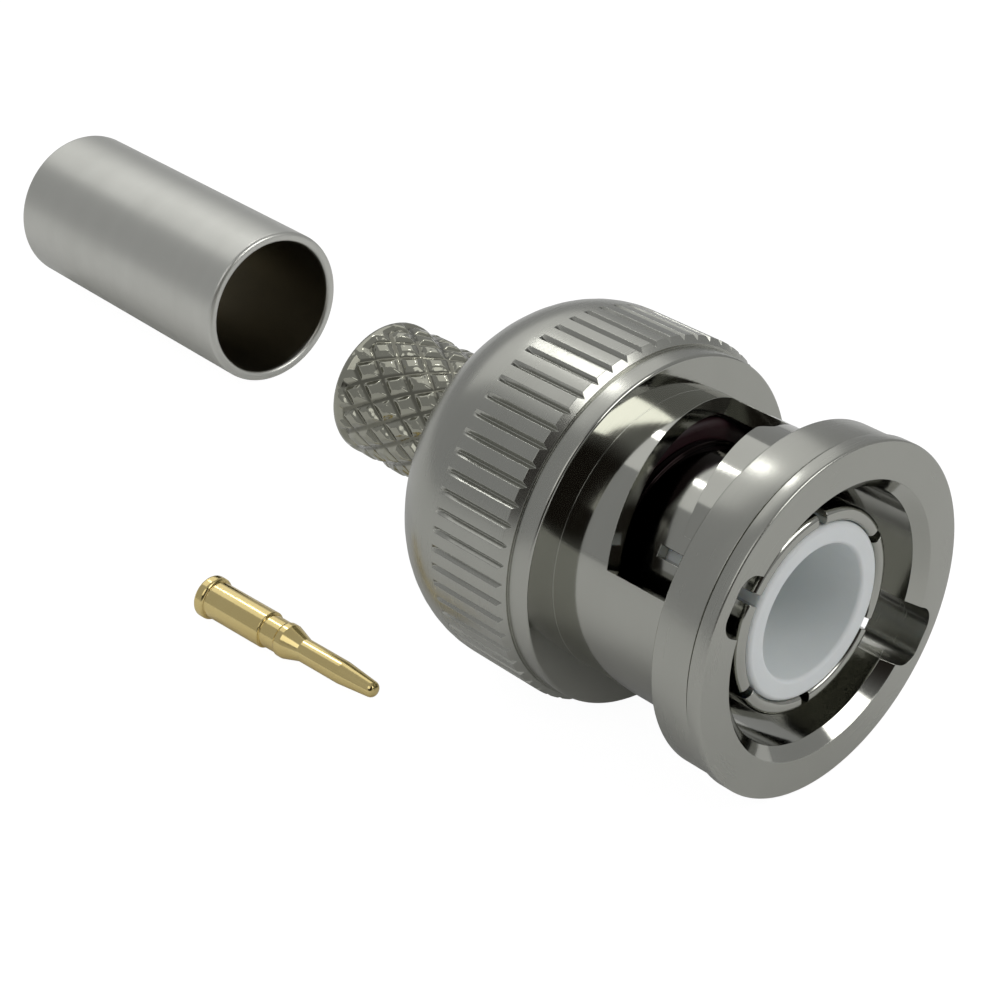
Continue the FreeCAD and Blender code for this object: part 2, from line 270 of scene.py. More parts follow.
def front_angles(radius):
    """Column angles of the nut's front, evenly spread between the walls of windows and grooves."""
    walls = [window_start, entry_angle - half_angle(radius), entry_angle + half_angle(radius),
             window_start + 180]
    spans = zip(walls[:-1], walls[1:], (window_columns, groove_columns, plain_columns))
    half = np.concatenate([np.linspace(a, b, n, endpoint=False) for a, b, n in spans])
    return np.concatenate([half, half + 180])


def ramp_share(angle):
    """0 at the entry groove and 1 at the lock."""
    return (entry_angle - angle) / (entry_angle - lock_angle)


def window_front(angle):
    """The ramp: x falls in proportion to the angle, and a half cosine dips forward at the lock."""
    near = np.clip((angle - lock_angle) / detent_reach, 0, 1)
    dip = detent_depth * (0.5 + 0.5 * np.cos(np.pi * near))
    return collar_rear - window_gap - front_fall * ramp_share(angle) + dip


def window_back(angle):
    """The rear edge of the window: x falls in proportion to the angle too, a little less."""
    return collar_rear - window_gap - window_width - back_fall * ramp_share(angle)


first_groove = window_columns
last_groove = window_columns + groove_columns
half_columns = last_groove + plain_columns

# %% [markdown]
# The edge rows are laid once for the window and its plain neighbour, as x for every column. Past
# the groove they glide back to where the next window starts, so that the grid stays whole.

# %% Rows that follow the windows
def edge_rows():
    """x of the front and rear window rows for all columns."""
    angles = front_angles(neck_radius)[:half_columns]
    ends = np.interp(angles, [angles[last_groove], window_start + 180], [1, 0])
    rows = []
    for edge in (window_front, window_back):
        along = edge(angles)
        glide = ends * edge(angles[last_groove]) + (1 - ends) * edge(window_start)
        rows.append(np.tile(np.where(np.arange(half_columns) < last_groove, along, glide), 2))
    return rows


front_row, back_row = edge_rows()
print(f"window opens from {back_row[0]:.2f} to {front_row[0]:.2f} mm")

# %% [markdown]
# The grip's flutes are V-shaped: a pointed tool is drawn along the band, so each has two flat walls
# that catch one even tone each. Each flute gets twelve columns of its own: two edges, a narrow
# bottom, and eight more on the land beside it, which keep the barrel round.

# %% Profile of the nut with its flutes
flute_offsets = np.array([-1.1, -0.1, 0.1, 1.1, 1.3, 1.7, 2.2, 2.7, 3.3, 3.8, 4.3, 4.7])
flute_depths = flute_depth * np.array([0, 1, 1, 0, 0, 0, 0, 0, 0, 0, 0, 0])
flute_pitch = 360 / flute_count
flute_starts = flute_first_angle + flute_pitch * np.arange(-5, flute_count - 5)
grip_angles = (flute_starts[:, None] + flute_offsets).ravel()
grip_depths = np.tile(flute_depths, flute_count)


def dome_path():
    """From the grip's last flat along the arc of the dome, then the cone down to the rear face."""
    corner = grip_rear - dome_radius * math.tan(dome_slope / 2)
    return rounded([(ring_rear, grip_radius), (corner, grip_radius, dome_radius),
                    (nut_rear, rear_face_radius, 0.25), (nut_rear, hub_bore_radius, 0.2),
                    (web_front, hub_bore_radius)], steps=11, closed=False)[1:]


def lathe_rows(path, angles):
    """Grid rows for a path of (x, r) points and one list of column angles."""
    path = np.asarray(path, float)
    return place(path[:, :1], path[:, 1:], angles[None])


def front_rows(path):
    """Grid rows whose column angles follow the groove's parallel walls at each radius."""
    return np.stack([place(x, r, front_angles(r)) for x, r in path])


# %% Outside of the nut, behind the neck
def add_grip(skin):
    """Neck corner, ring, fluted band, dome, rear face, hub bore and the inside up to the neck."""
    ring = rounded([(neck_rear, neck_radius), (neck_rear, ring_radius, ring_edge),
                    (ring_rear, ring_radius), (ring_rear, grip_radius - grip_edge)],
                   steps=ring_edge_steps, closed=False)
    turn_over = ring_edge_steps + 2
    before = front_rows(ring[:turn_over])
    behind = lathe_rows(ring[turn_over:], grip_angles)
    skin.grid(before, wrap=True)
    skin.grid(np.stack([before[-1], behind[0]]), wrap=True)
    skin.grid(behind, wrap=True)
    step = lathe_rows(ring[-1:], grip_angles)[0]
    notch = place(ring_rear - grip_edge + grip_depths, grip_radius - grip_depths, grip_angles)
    cuts = np.linspace(ring_rear - 0.6, grip_rear + flute_run_out, 5)
    band = [place(x, grip_radius - grip_depths, grip_angles) for x in cuts]
    band.append(place(grip_rear, grip_radius, grip_angles))
    skin.grid(np.stack([step, notch] + band), wrap=True)
    dome = dome_path()
    skin.grid(lathe_rows(dome, grip_angles), wrap=True)
    inside = [(web_front, hub_bore_radius), (web_front, bore_radius),
              (ring_groove_rear, bore_radius), (ring_groove_rear, ring_groove_radius),
              (ring_groove_front, ring_groove_radius), (ring_groove_front, bore_radius)]
    skin.grid(lathe_rows(inside, grip_angles), wrap=True)
    skin.grid(np.stack([lathe_rows(inside[-1:], grip_angles)[0],
                        place(neck_rear, bore_radius, front_angles(bore_radius))]), wrap=True)


# %% [markdown]
# The front is made section by section. Between two walls a section is just a slice of columns, and
# the groove's own cross-section, flat on top with two rounded corners, replaces the bore there.

# %% Neck, collar and lip
def groove_section(x):
    """The groove's rounded top at x, one point for each groove column and one more."""
    corner_points = groove_columns // 4 + 1
    flat_points = groove_columns + 1 - 2 * corner_points
    arc = np.radians(np.linspace(180, 90, corner_points))
    side = -groove_half + groove_corner + groove_corner * np.cos(arc)
    height = groove_top - groove_corner + groove_corner * np.sin(arc)
    flat = np.linspace(side[-1], -side[-1], flat_points + 2)[1:-1]
    across = np.concatenate([side, flat, -side[::-1]])
    up = np.concatenate([height, np.full(flat_points, groove_top), height[::-1]])
    return place(x, np.hypot(across, up), entry_angle + np.degrees(np.arctan2(across, up)))


def wall_grid(x_rows, inner_rows, outer, side):
    """A groove's flat wall: at each x from an inner to an outer radius, half a width off centre."""
    sign = -1 if side == 0 else 1
    rows = []
    for x, inner in zip(x_rows, inner_rows):
        radii = np.array([inner] + list(outer))
        half = np.degrees(np.arcsin(groove_half / radii))
        rows.append(place(x, radii, entry_angle + sign * half))
    return np.stack(rows)


def add_front(skin):
    """Both halves of the neck, collar and lip, with their windows and grooves."""
    top_side = math.hypot(groove_half, groove_top - groove_corner)
    relief_rear = lip_rear - relief_size
    relief_radius = collar_radius - relief_size
    lip = rounded([(nut_front, top_side), (nut_front, lip_radius, lip_edge),
                   (lip_rear, lip_radius, relief_edge), (lip_rear, relief_radius),
                   (relief_rear, relief_radius), (relief_rear, collar_radius, relief_edge),
                   (collar_rear, collar_radius, collar_edge), (collar_rear, top_side)],
                  steps=5, closed=False)
    outside = front_rows(lip[1:-1])
    skin.grid(outside, wrap=True)
    mouth = bore_radius + bore_chamfer
    mouth_rear = nut_front - bore_chamfer
    face = front_rows([(nut_front, mouth), (nut_front, neck_radius), (nut_front, top_side)])
    face = np.concatenate([face, outside[:1]])
    shoulder = front_rows([(collar_rear, top_side), (collar_rear, neck_radius)])
    shoulder = np.concatenate([outside[-1:], shoulder])
    throat = front_rows([(nut_front, mouth), (mouth_rear, bore_radius), (collar_rear, bore_radius)])
    columns = {}
    for radius in (neck_radius, bore_radius):
        angles = front_angles(radius)
        columns[radius] = np.stack([place(x, radius, angles) for x in
                                    (collar_rear, front_row, back_row, neck_rear)])
    for start in (0, half_columns):
        window = np.arange(start, start + first_groove + 1)
        groove = np.arange(start + first_groove, start + last_groove + 1)
        plain = np.arange(start + last_groove, start + half_columns + 1) % (2 * half_columns)
        for part in (window, plain):
            skin.grid(face[:, part])
            skin.grid(shoulder[:, part])
            skin.grid(throat[:, part])
        spin = np.diag([1, -1, -1]) if start else np.eye(3)
        tops = [groove_section(x) @ spin for x in (nut_front, mouth_rear, collar_rear)]
        skin.grid(np.stack([tops[0], outside[0][groove]]))
        skin.grid(np.stack([tops[2], outside[-1][groove]]))
        skin.grid(np.stack(tops))
        for side in (0, 1):
            wall = wall_grid((nut_front, mouth_rear, collar_rear),
                             (mouth, bore_radius, bore_radius), (neck_radius, top_side), side)
            skin.grid(wall @ spin)
        outer, inner = columns[neck_radius], columns[bore_radius]
        for tube in (outer, inner):
            skin.grid(tube[:2, window])
            skin.grid(tube[2:, window])
            skin.grid(tube[2:, groove])
            skin.grid(tube[:, plain])
        open_columns = np.concatenate([window, groove[1:]])
        skin.grid(np.stack([outer[1, window], inner[1, window]]))
        skin.grid(np.stack([outer[2, open_columns], inner[2, open_columns]]))
        skin.grid(np.stack([outer[:2, window[-1]], inner[:2, window[-1]]]))
        skin.grid(np.stack([outer[:3, plain[0]], inner[:3, plain[0]]]))
        skin.grid(np.stack([outer[1:3, window[0]], inner[1:3, window[0]]]))


nut_skin = Skin()
add_grip(nut_skin)
add_front(nut_skin)
nut = add_piece("nut_shell", nut_skin, "nut", ["coupling_nut"], bevel=0.012)

# %% [markdown]
# ## The outer contact
#
# A thin tube whose front is slit six times, so that it springs against the inside of a jack. Each
# slit has parallel walls, so the columns beside it follow the same rule as the nut's groove.

# %% The slit tube
contact_inner = 3.45
contact_outer = 4.0
contact_seat = contact_outer - 0.15
rim_outer_edge = 0.26
rim_inner_edge = 0.2
bead_gap = 0.05
bead_width = 0.3
bead_edge = 0.05
slit_count = 6
slit_half = 0.21
slit_depth = 4.3
slit_first_angle = -1.5
finger_columns = 44
slit_columns = 4


def contact_angles(radius):
    """Column angles: a few across each slit, the rest across the finger beside it."""
    half = math.degrees(math.asin(slit_half / radius))
    pitch = 360 / slit_count
    slit = np.linspace(-half, half, slit_columns, endpoint=False)
    finger = np.linspace(half, pitch - half, finger_columns, endpoint=False)
    starts = slit_first_angle + pitch * np.arange(slit_count)
    return (starts[:, None] + np.concatenate([slit, finger])).ravel()


def contact_skin():
    """Fingers in front, a whole tube with its bead behind, and the walls of the slits."""
    skin = Skin()
    bead_rear = gasket_front + bead_gap
    bead_front = bead_rear + bead_width
    rim = rounded([(-slit_depth, contact_outer), (0, contact_outer, rim_outer_edge),
                   (0, contact_inner, rim_inner_edge), (-slit_depth, contact_inner)],
                  steps=5, closed=False)
    back = rounded([(-slit_depth, contact_inner), (contact_rear, contact_inner),
                    (contact_rear, contact_seat), (bead_rear, contact_seat),
                    (bead_rear, bead_radius, bead_edge), (bead_front, bead_radius, bead_edge),
                    (bead_front, contact_outer), (-slit_depth, contact_outer)],
                   steps=3, closed=False)
    skin.grid(np.stack([place(x, r, contact_angles(r)) for x, r in back]), wrap=True)
    front = np.stack([place(x, r, contact_angles(r)) for x, r in rim])
    total = front.shape[1]
    for start in range(0, total, finger_columns + slit_columns):
        finger = np.arange(start + slit_columns, start + slit_columns + finger_columns + 1) % total
        slit = np.arange(start, start + slit_columns + 1)
        skin.grid(front[:, finger])
        skin.grid(np.stack([front[0, slit], front[-1, slit]]))
        skin.polygon(front[:, finger[0]])
        skin.polygon(front[:, finger[-1]])
    return skin


contact = add_piece("contact_fingers", contact_skin(), "plug", ["outer_contact"],
                    bevel=0.03)

# %% [markdown]
# ## Insulator, gasket and ferrule
#
# Three plain turned pieces. What makes them read as moulded, soft or rolled is the size of their
# edges: the insulator's lip is full and soft, the gasket is almost a bead, and the ferrule's rim is
# rounded right over, because a cut tube is tumbled before it is plated.

# %% Plain turned pieces
cup_radius = 2.6
cup_depth = 5.4
pin_bore = 0.79

insulator_profile = rounded([
    (0, cup_radius, 0.16), (0, insulator_radius, 0.2), (insulator_rear, insulator_radius, 0.1),
    (insulator_rear, pin_bore), (-cup_depth, pin_bore, 0.05), (-cup_depth, cup_radius, 0.45),
], steps=6)
insulator_skin = turned(insulator_profile, 192)
insulator = add_piece("insulator_cup", insulator_skin, "plug", ["insulator"])

gasket_inner = 3.9
gasket_mouth = 4.02
gasket_profile = rounded([
    (gasket_front, gasket_mouth, 0.12), (gasket_front, gasket_radius, 0.3),
    (gasket_rear, gasket_radius, 0.12), (gasket_rear, gasket_inner),
], steps=5)
gasket = add_piece("gasket_ring", turned(gasket_profile, 160), "plug", ["gasket"])

ferrule_radius = 3.68
ferrule_inner = 3.21
ferrule_length = 15.9
ferrule_turn = math.radians(-1.2)
ferrule_mouth = np.array([-37.41, 5.64, -grip_radius + ferrule_radius])
ferrule_edge = 0.2
ferrule_profile = rounded([
    (0, ferrule_inner, ferrule_edge), (0, ferrule_radius, ferrule_edge),
    (-ferrule_length, ferrule_radius, ferrule_edge), (-ferrule_length, ferrule_inner, ferrule_edge),
], steps=6)


def moved(skin, rotation, offset):
    """Every point of a skin turned by a 3 by 3 matrix, then shifted."""
    skin.points = [points @ rotation.T + offset for points in skin.points]
    return skin


def turn_about(axis, angle):
    """The rotation matrix about an axis, by Rodrigues' formula."""
    x, y, z = axis
    cross = np.array([[0, -z, y], [z, 0, -x], [-y, x, 0]], float)
    return np.eye(3) + math.sin(angle) * cross + (1 - math.cos(angle)) * cross @ cross


ferrule_rotation = turn_about((0, 0, 1), ferrule_turn)
ferrule_skin = moved(turned(ferrule_profile, 288), ferrule_rotation, ferrule_mouth)
ferrule = add_piece("ferrule_tube", ferrule_skin, "plug", ["crimp_ferrule"])

# %% [markdown]
# ## The wave spring
#
# A flat ring of strip whose height swings three times on its way round. It sits between the body's
# flange and the flat washer, and it is pressed nearly flat when the nut is drawn forward.

# %% The wave spring
spring_rear, spring_front, spring_radius = reach("wave_spring")
spring_inner = 3.7
spring_strip = 0.22
spring_edge = 0.05
spring_waves = 3


def spring_skin(columns=216):
    """The strip's rounded cross-section, carried round the axis on a cosine wave along x."""
    half = spring_strip / 2
    section = rounded([(-half, spring_inner, spring_edge), (-half, spring_radius, spring_edge),
                       (half, spring_radius, spring_edge), (half, spring_inner, spring_edge)],
                      steps=3)
    section = np.concatenate([section, section[:1]])
    angles = np.linspace(0, 360, columns, endpoint=False)
    swing = (spring_front - spring_rear) / 2 - half
    lift = (spring_front + spring_rear) / 2 + swing * np.cos(np.radians(spring_waves * angles))
    skin = Skin()
    skin.grid(place(lift[None] + section[:, :1], section[:, 1:], angles[None]), wrap=True)
    return skin


spring = add_piece("wave_ring", spring_skin(), "plug", ["wave_spring"])
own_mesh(spring)

# %% [markdown]
# ## The knurled body
#
# The tail's diamonds are cut by two sets of spiral grooves, one each way. So the surface is a
# height field: unroll the barrel, measure how far a point is from the nearest groove of either
# set, and raise it by a smooth step of the smaller distance.

# %% The body and its knurl
crest_radius = 2.83
knurl_depth = 0.15
diamonds_around = 16
diamond_rows = 8
knurl_angle = math.radians(30.8)
hub_radius = 3.6
boss_radius = 4.4
cable_bore = 1.95
seat_gap = 0.02
contact_bore = contact_seat + seat_gap
boss_length = 1.95
flange_thickness = 0.9
hub_length = 5.11
flange_front = boss_front - boss_length
flange_rear = flange_front - flange_thickness
shoulder_rear = flange_rear - hub_length
root_radius = crest_radius - knurl_depth
half_pitch = math.pi * root_radius / (diamonds_around * math.tan(knurl_angle))
knurl_rear = shoulder_rear - diamond_rows * half_pitch
groove_floor = 0.02
groove_flank = 0.33
run_out_rows = 0.3
columns_per_diamond = 24
grid_rows_per_diamond = 20
machined_edge = 0.08
shoulder_edge = 0.35


def knurl_height(row, turn):
    """A smooth step of the distance to the nearer groove: 0 in it, 1 on a diamond's top.

    The row counts half pitches along the axis, and turn counts diamonds round it.
    """
    one = turn + row / 2
    other = turn - row / 2
    near = np.minimum(np.abs(one - np.round(one)), np.abs(other - np.round(other)))
    ramp = np.clip((near - groove_floor) / groove_flank, 0, 1)
    return ramp * ramp * (3 - 2 * ramp)


def body_skin():
    """The knurl as a height field, then the plain rest of the body, inside and out."""
    skin = Skin()
    around = np.arange(diamonds_around * columns_per_diamond) / columns_per_diamond
    angles = around * 360 / diamonds_around
    rows = np.arange(diamond_rows * grid_rows_per_diamond + 1) / grid_rows_per_diamond
    height = knurl_height(rows[:, None], around[None])
    run_out = np.clip((rows - diamond_rows + run_out_rows) / run_out_rows, 0, 1)[:, None]
    radius = crest_radius - knurl_depth * (1 - np.maximum(height, run_out))
    skin.grid(place(shoulder_rear - rows[:, None] * half_pitch, radius, angles[None]), wrap=True)
    root = radius[0]
    seat = contact_rear - seat_gap
    rest = rounded([(knurl_rear, crest_radius), (tail_rear, crest_radius, 0.3),
                    (tail_rear, cable_bore, 0.1), (seat, cable_bore), (seat, contact_bore),
                    (boss_front, contact_bore, machined_edge), (boss_front, boss_radius, 0.1),
                    (flange_front, boss_radius), (flange_front, flange_radius, machined_edge),
                    (flange_rear, flange_radius, machined_edge), (flange_rear, hub_radius),
                    (shoulder_rear, hub_radius, shoulder_edge)], steps=5, closed=False)
    hub_end = place(shoulder_rear, hub_radius - shoulder_edge, angles)
    knurl_front = place(shoulder_rear, root, angles)
    plain = np.concatenate([lathe_rows(rest, angles), hub_end[None], knurl_front[None]])
    skin.grid(plain, wrap=True)
    return skin


body = add_piece("knurled_body", body_skin(), "plug", ["connector_body"])

# %% [markdown]
# ## The centre contact
#
# A gold-plated pin, 9.3 mm long: head, barrel, waist, barb, cone, shaft and a long tapered nose.
# It lies on its head and on the front edge of its barrel, so its axis tips a little nose down.

# %% The pin
pin_steps = {"head": 0.52, "barrel": 3.0, "waist": 0.88, "barb": 0.25, "cone": 0.78, "shaft": 2.1,
             "nose": 1.75}
ends = dict(zip(pin_steps, np.cumsum(list(pin_steps.values()))))
hole_depth = 3.0
hole_radius = 0.42
head_radius = 0.9
barrel_radius = 0.77
waist_radius = 0.67
barb_radius = 0.72
shaft_radius = 0.48
tip_radius = 0.31
pin_profile = rounded([
    (hole_depth, 0), (hole_depth, hole_radius), (0, hole_radius, 0.08), (0, head_radius, 0.16),
    (ends["head"], head_radius, 0.16), (ends["head"], barrel_radius, 0.03),
    (ends["barrel"], barrel_radius, 0.06), (ends["barrel"], waist_radius, 0.03),
    (ends["waist"] - 0.1, waist_radius, 0.06), (ends["waist"], barb_radius, 0.05),
    (ends["barb"], barb_radius, 0.06), (ends["cone"], shaft_radius, 0.18),
    (ends["shaft"], shaft_radius, 0.8), (ends["nose"], tip_radius, 0.26), (ends["nose"], 0),
], steps=6, closed=False)
pin_low, pin_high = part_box("contact_pin")
pin_lean = math.atan((head_radius - barrel_radius) / pin_steps["barrel"])
pin_yaw = math.radians(5.6)
pin_rotation = turn_about((0, 0, 1), pin_yaw) @ turn_about((0, 1, 0), pin_lean)
pin_skin = moved(turned(pin_profile, 160, closed=False), pin_rotation, np.zeros(3))
pin_points = pin_skin.points[0]
pin_centre = np.array((pin_low + pin_high) / 2) / mm
pin_shift = pin_centre - (pin_points.min(0) + pin_points.max(0)) / 2
pin_shift[2] = pin_low.z / mm - pin_points[:, 2].min()
pin_skin = moved(pin_skin, np.eye(3), pin_shift)
pin = add_piece("centre_pin", pin_skin, "plug", ["contact_pin"])

# %% [markdown]
# ## Shader maths as Python expressions
#
# A material is a small program. Writing it node by node hides the formula, so a thin class wraps a
# socket and lets `+`, `-`, `*` and `**` add the Math nodes.

# %% Expressions on sockets
class Value:
    """A node's output that can be used in arithmetic with numbers and other outputs."""

    def __init__(self, tree, socket):
        self.tree = tree
        self.socket = socket

    def math(self, operation, *others, swap=False):
        terms = [self, *others]
        if swap:
            terms.reverse()
        return self.tree.node("ShaderNodeMath", {"operation": operation}, dict(enumerate(terms)))

    def __add__(self, other):
        return self.math("ADD", other)

    def __sub__(self, other):
        return self.math("SUBTRACT", other)

    def __mul__(self, other):
        return self.math("MULTIPLY", other)

    def __pow__(self, other):
        return self.math("POWER", other)

    def __rsub__(self, other):
        return self.math("SUBTRACT", other, swap=True)

    def between(self, low, high, soft):
        """1 between low and high, falling smoothly to 0 over the distance soft on either side."""
        rise = self.tree.step(self, low - soft, low)
        return rise * (1.0 - self.tree.step(self, high, high + soft))


class Finish:
    """A material under construction, with one Principled shader."""

    def __init__(self, name):
        self.material = bpy.data.materials.new(name)
        self.material.use_nodes = True
        self.nodes = self.material.node_tree.nodes
        self.links = self.material.node_tree.links
        self.shader = self.nodes["Principled BSDF"]

    def node(self, kind, settings=None, inputs=None, output=0):
        """Any node: its settings first, then values or links for its sockets, by name or number."""
        made = self.nodes.new(kind)
        for name, value in (settings or {}).items():
            setattr(made, name, value)
        for key, value in (inputs or {}).items():
            self.feed(made.inputs[key], value)
        return Value(self, made.outputs[output])

    def feed(self, socket, value):
        """Links another node's output to a socket, or sets the socket's own value."""
        if isinstance(value, Value):
            self.links.new(value.socket, socket)
        else:
            socket.default_value = value

    def mix(self, share, first, second):
        """Colour first where share is 0 and second where it is 1."""
        return self.node("ShaderNodeMix", {"data_type": "RGBA"}, {0: share, 6: first, 7: second},
                         output=2)

    def step(self, value, low, high):
        """0 below low, 1 above high, and a smooth step between them."""
        return self.node("ShaderNodeMapRange", {"interpolation_type": "SMOOTHSTEP"},
                         {"Value": value, "From Min": low, "From Max": high})

    def noise(self, vector, scale, detail=2.0, roughness=0.5):
        inputs = {"Vector": vector, "Scale": scale, "Detail": detail, "Roughness": roughness}
        return self.node("ShaderNodeTexNoise", {}, inputs)

    def place(self, shift=(0, 0, 0), turn=(0, 0, 0)):
        """Object coordinates brought to a piece's own axis, in metres."""
        coordinates = self.node("ShaderNodeTexCoord", {}, {}, output=3)
        return self.node("ShaderNodeMapping", {"vector_type": "TEXTURE"},
                         {"Vector": coordinates, "Location": shift, "Rotation": turn})

    def split(self, vector):
        """The x, y and z of a vector."""
        parts = self.node("ShaderNodeSeparateXYZ", {}, {"Vector": vector})
        return [Value(self, parts.socket.node.outputs[i]) for i in range(3)]

    def join(self, x, y, z):
        """A vector from its x, y and z."""
        return self.node("ShaderNodeCombineXYZ", {}, {0: x, 1: y, 2: z})

    def bump(self, height, strength, distance):
        """A Bump node: a height of 1 stands out by the distance, in metres."""
        inputs = {"Strength": strength, "Distance": distance, "Height": height}
        normal = self.node("ShaderNodeBump", {}, inputs)
        self.feed(self.shader.inputs["Normal"], normal)

    def set(self, **values):
        """Feeds the shader's sockets, which are named with _ for a space."""
        for name, value in values.items():
            self.feed(self.shader.inputs[name.replace("_", " ")], value)


def dress(piece, finish):
    """Gives a piece one material in place of all that it had."""
    piece.data.materials.clear()
    piece.data.materials.append(finish.material)


# %% [markdown]
# ## Plated metals
#
# Nickel plate is never one grey. The lathe leaves fine rings that only differ along the profile,
# so their noise reads x and the distance from the axis and nothing else. Plating adds a faint cloud
# of warmer and cooler patches, some a little duller, and handling leaves dents in the knurl.
# Two more things differ from place to place. Tumbling in the plating barrel dulls what stands out,
# so the nut's neck, down between collar and ring, keeps more polish, and so does the bore. And
# painted shade darkens what lies deep: the inside of the ferrule and the grooves of the knurl. A
# painted dark reflection lies on the contact tube just ahead of the gasket.

# %% Nickel and gold
ring_scale = 9000.0
broad_ring_scale = 1100.0
patch_scale = 420.0
grain_scale = 14000.0
dent_scale = 2200.0
zone_wander = 0.0006
zone_ends = 0.3 * mm
zone_walls = 0.05 * mm
relief = 0.004 * mm


def plated(name, light, dark, gloss, rings, cloud, shift=(0, 0, 0), turn=(0, 0, 0), zones=(),
           polish=0.0, painted_shade_colour=(0, 0, 0, 1), dents=0.0):
    """Metal with turning rings: gloss is its mean roughness; rings, cloud and dents are strengths.

    A zone is (x from, x to, r from, r to) in millimetres; inside one the roughness falls by polish,
    or, where polish is 0, the colour turns to the dark colour given, which is painted shade or a
    painted dark reflection.
    """
    finish = Finish(name)
    spot = finish.place(shift, turn)
    x, y, z = finish.split(spot)
    radius = (y * y + z * z) ** 0.5
    along = finish.join(x, radius, 0.0)
    ring = finish.noise(along, ring_scale, 3.0, 0.6)
    broad_ring = finish.noise(along, broad_ring_scale, 2.0, 0.5)
    patches = finish.noise(spot, patch_scale, 3.0, 0.55)
    grain = finish.noise(spot, grain_scale, 2.0, 0.5)
    tone = patches * 0.6 + broad_ring * 0.4
    colour = finish.mix(tone, light, dark)
    rough = (ring - 0.5) * rings * 0.35 + (patches - 0.5) * cloud + gloss
    spread = (patches - 0.5) * zone_wander + x
    for zone in zones:
        x_low, x_high, r_low, r_high = (value * mm for value in zone)
        within_ends = spread.between(x_low, x_high, zone_ends)
        inside = within_ends * radius.between(r_low, r_high, zone_walls)
        if polish:
            rough = rough - inside * polish
        else:
            # where polish is 0 the zone's colour is painted shade or a painted dark reflection
            colour = finish.mix(inside, colour, painted_shade_colour)
    finish.set(Base_Color=colour, Roughness=rough, Metallic=1.0)
    fine = ring * rings + grain * 0.25 * rings + broad_ring * 0.5 * rings
    finish.bump(finish.noise(spot, dent_scale, 1.0) * dents + fine, 0.35, relief)
    return finish


nickel_light = (0.46, 0.462, 0.42, 1)
nickel_dark = (0.40, 0.40, 0.36, 1)
neck_zone = (ring_rear + 0.1, collar_rear - 0.3, 1, 6.9)
bore_zone = (collar_rear, 2.0, 1, bore_radius + 0.4)
bright_nickel = plated("bright nickel plate", nickel_light, nickel_dark,
                       gloss=0.26, rings=0.25, cloud=0.06,
                       zones=[neck_zone, bore_zone], polish=0.17)

# painted dark reflection: the contact's colour turns near black round its bead, where the dark bore
# of the nut mirrors in it
painted_reflection_zone = (-7.0, -4.9, 3.7, 4.3)
contact_nickel = plated("polished nickel plate", nickel_light, nickel_dark,
                        gloss=0.12, rings=0.3, cloud=0.08,
                        zones=[painted_reflection_zone], painted_shade_colour=(0.02, 0.014, 0.014, 1))

# painted shade: the colour darkens down in the knurl's grooves
knurl_groove_shade_zone = (knurl_rear, shoulder_rear, 2.0, root_radius)
knurl_nickel = plated("knurled nickel plate", (0.45, 0.447, 0.375, 1), (0.31, 0.307, 0.25, 1),
                      gloss=0.11, rings=0.15, cloud=0.06,
                      zones=[knurl_groove_shade_zone], painted_shade_colour=(0.19, 0.187, 0.15, 1), dents=34.0)

# painted shade: the colour darkens on the inside of the ferrule
ferrule_inside_shade_zone = (-ferrule_length, -0.3, 1, ferrule_inner + 0.05)
ferrule_nickel = plated("satin nickel tube", (0.68, 0.68, 0.63, 1), (0.58, 0.58, 0.535, 1),
                        gloss=0.36, rings=0.3, cloud=0.14,
                        shift=tuple(ferrule_mouth * mm), turn=(0, 0, ferrule_turn),
                        zones=[ferrule_inside_shade_zone], painted_shade_colour=(0.19, 0.17, 0.12, 1))

spring_steel = plated("spring steel strip", (0.5, 0.49, 0.47, 1), (0.4, 0.39, 0.37, 1),
                      gloss=0.3, rings=0.6, cloud=0.1)

gold = plated("gold plate", (0.90, 0.745, 0.36, 1), (0.78, 0.61, 0.25, 1),
              gloss=0.15, rings=0.4, cloud=0.08,
              shift=tuple(pin_shift * mm), turn=(0, pin_lean, pin_yaw))

dress(nut, bright_nickel)
dress(contact, contact_nickel)
dress(body, knurl_nickel)
dress(ferrule, ferrule_nickel)
dress(pin, gold)
dress(spring, spring_steel)
for hidden in ("snap_ring", "thrust_washer"):
    dress(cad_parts[hidden], spring_steel)

# %% [markdown]
# ## Plastic and rubber
#
# The insulator is a fluoropolymer: white, a touch blue, waxy rather than glossy, with a little
# light carried under its surface. The gasket is nearly black silicone with a wine-red cast.

# %% White plastic and dark rubber
plastic = Finish("white moulded plastic")
plastic_place = plastic.place()
mottle = plastic.noise(plastic_place, 900.0, 3.0)
plastic.set(Base_Color=plastic.mix(mottle, (0.87, 0.90, 0.895, 1), (0.83, 0.865, 0.862, 1)),
            Roughness=mottle * 0.1 + 0.33, IOR=1.38, Subsurface_Weight=0.25,
            Subsurface_Radius=(0.6, 0.7, 0.8), Subsurface_Scale=0.8 * mm)
plastic.bump(plastic.noise(plastic_place, 6000.0, 2.0), 0.2, relief)
dress(insulator, plastic)

rubber = Finish("dark silicone rubber")
rubber_place = rubber.place()
dust = rubber.noise(rubber_place, 2500.0, 4.0)
rubber.set(Base_Color=rubber.mix(dust, (0.016, 0.004, 0.006, 1), (0.03, 0.008, 0.011, 1)),
           Roughness=dust * 0.2 + 0.4)
rubber.bump(dust, 0.3, 0.02 * mm)
dress(gasket, rubber)

# %% [markdown]
# ## Floor, light and camera
#
# The camera sees it glow, which makes the ground white, with just enough of its lit side left to
# take the shadows; the metal mirrors it as a dim grey. The key lamp is wide, because its images in
# the neck and in the edge of the bore are wide. The sky is dim too, which keeps polished metal from
# washing out, and it has a dark side behind the camera, which draws the black band where ring and
# neck meet, after two reflections.

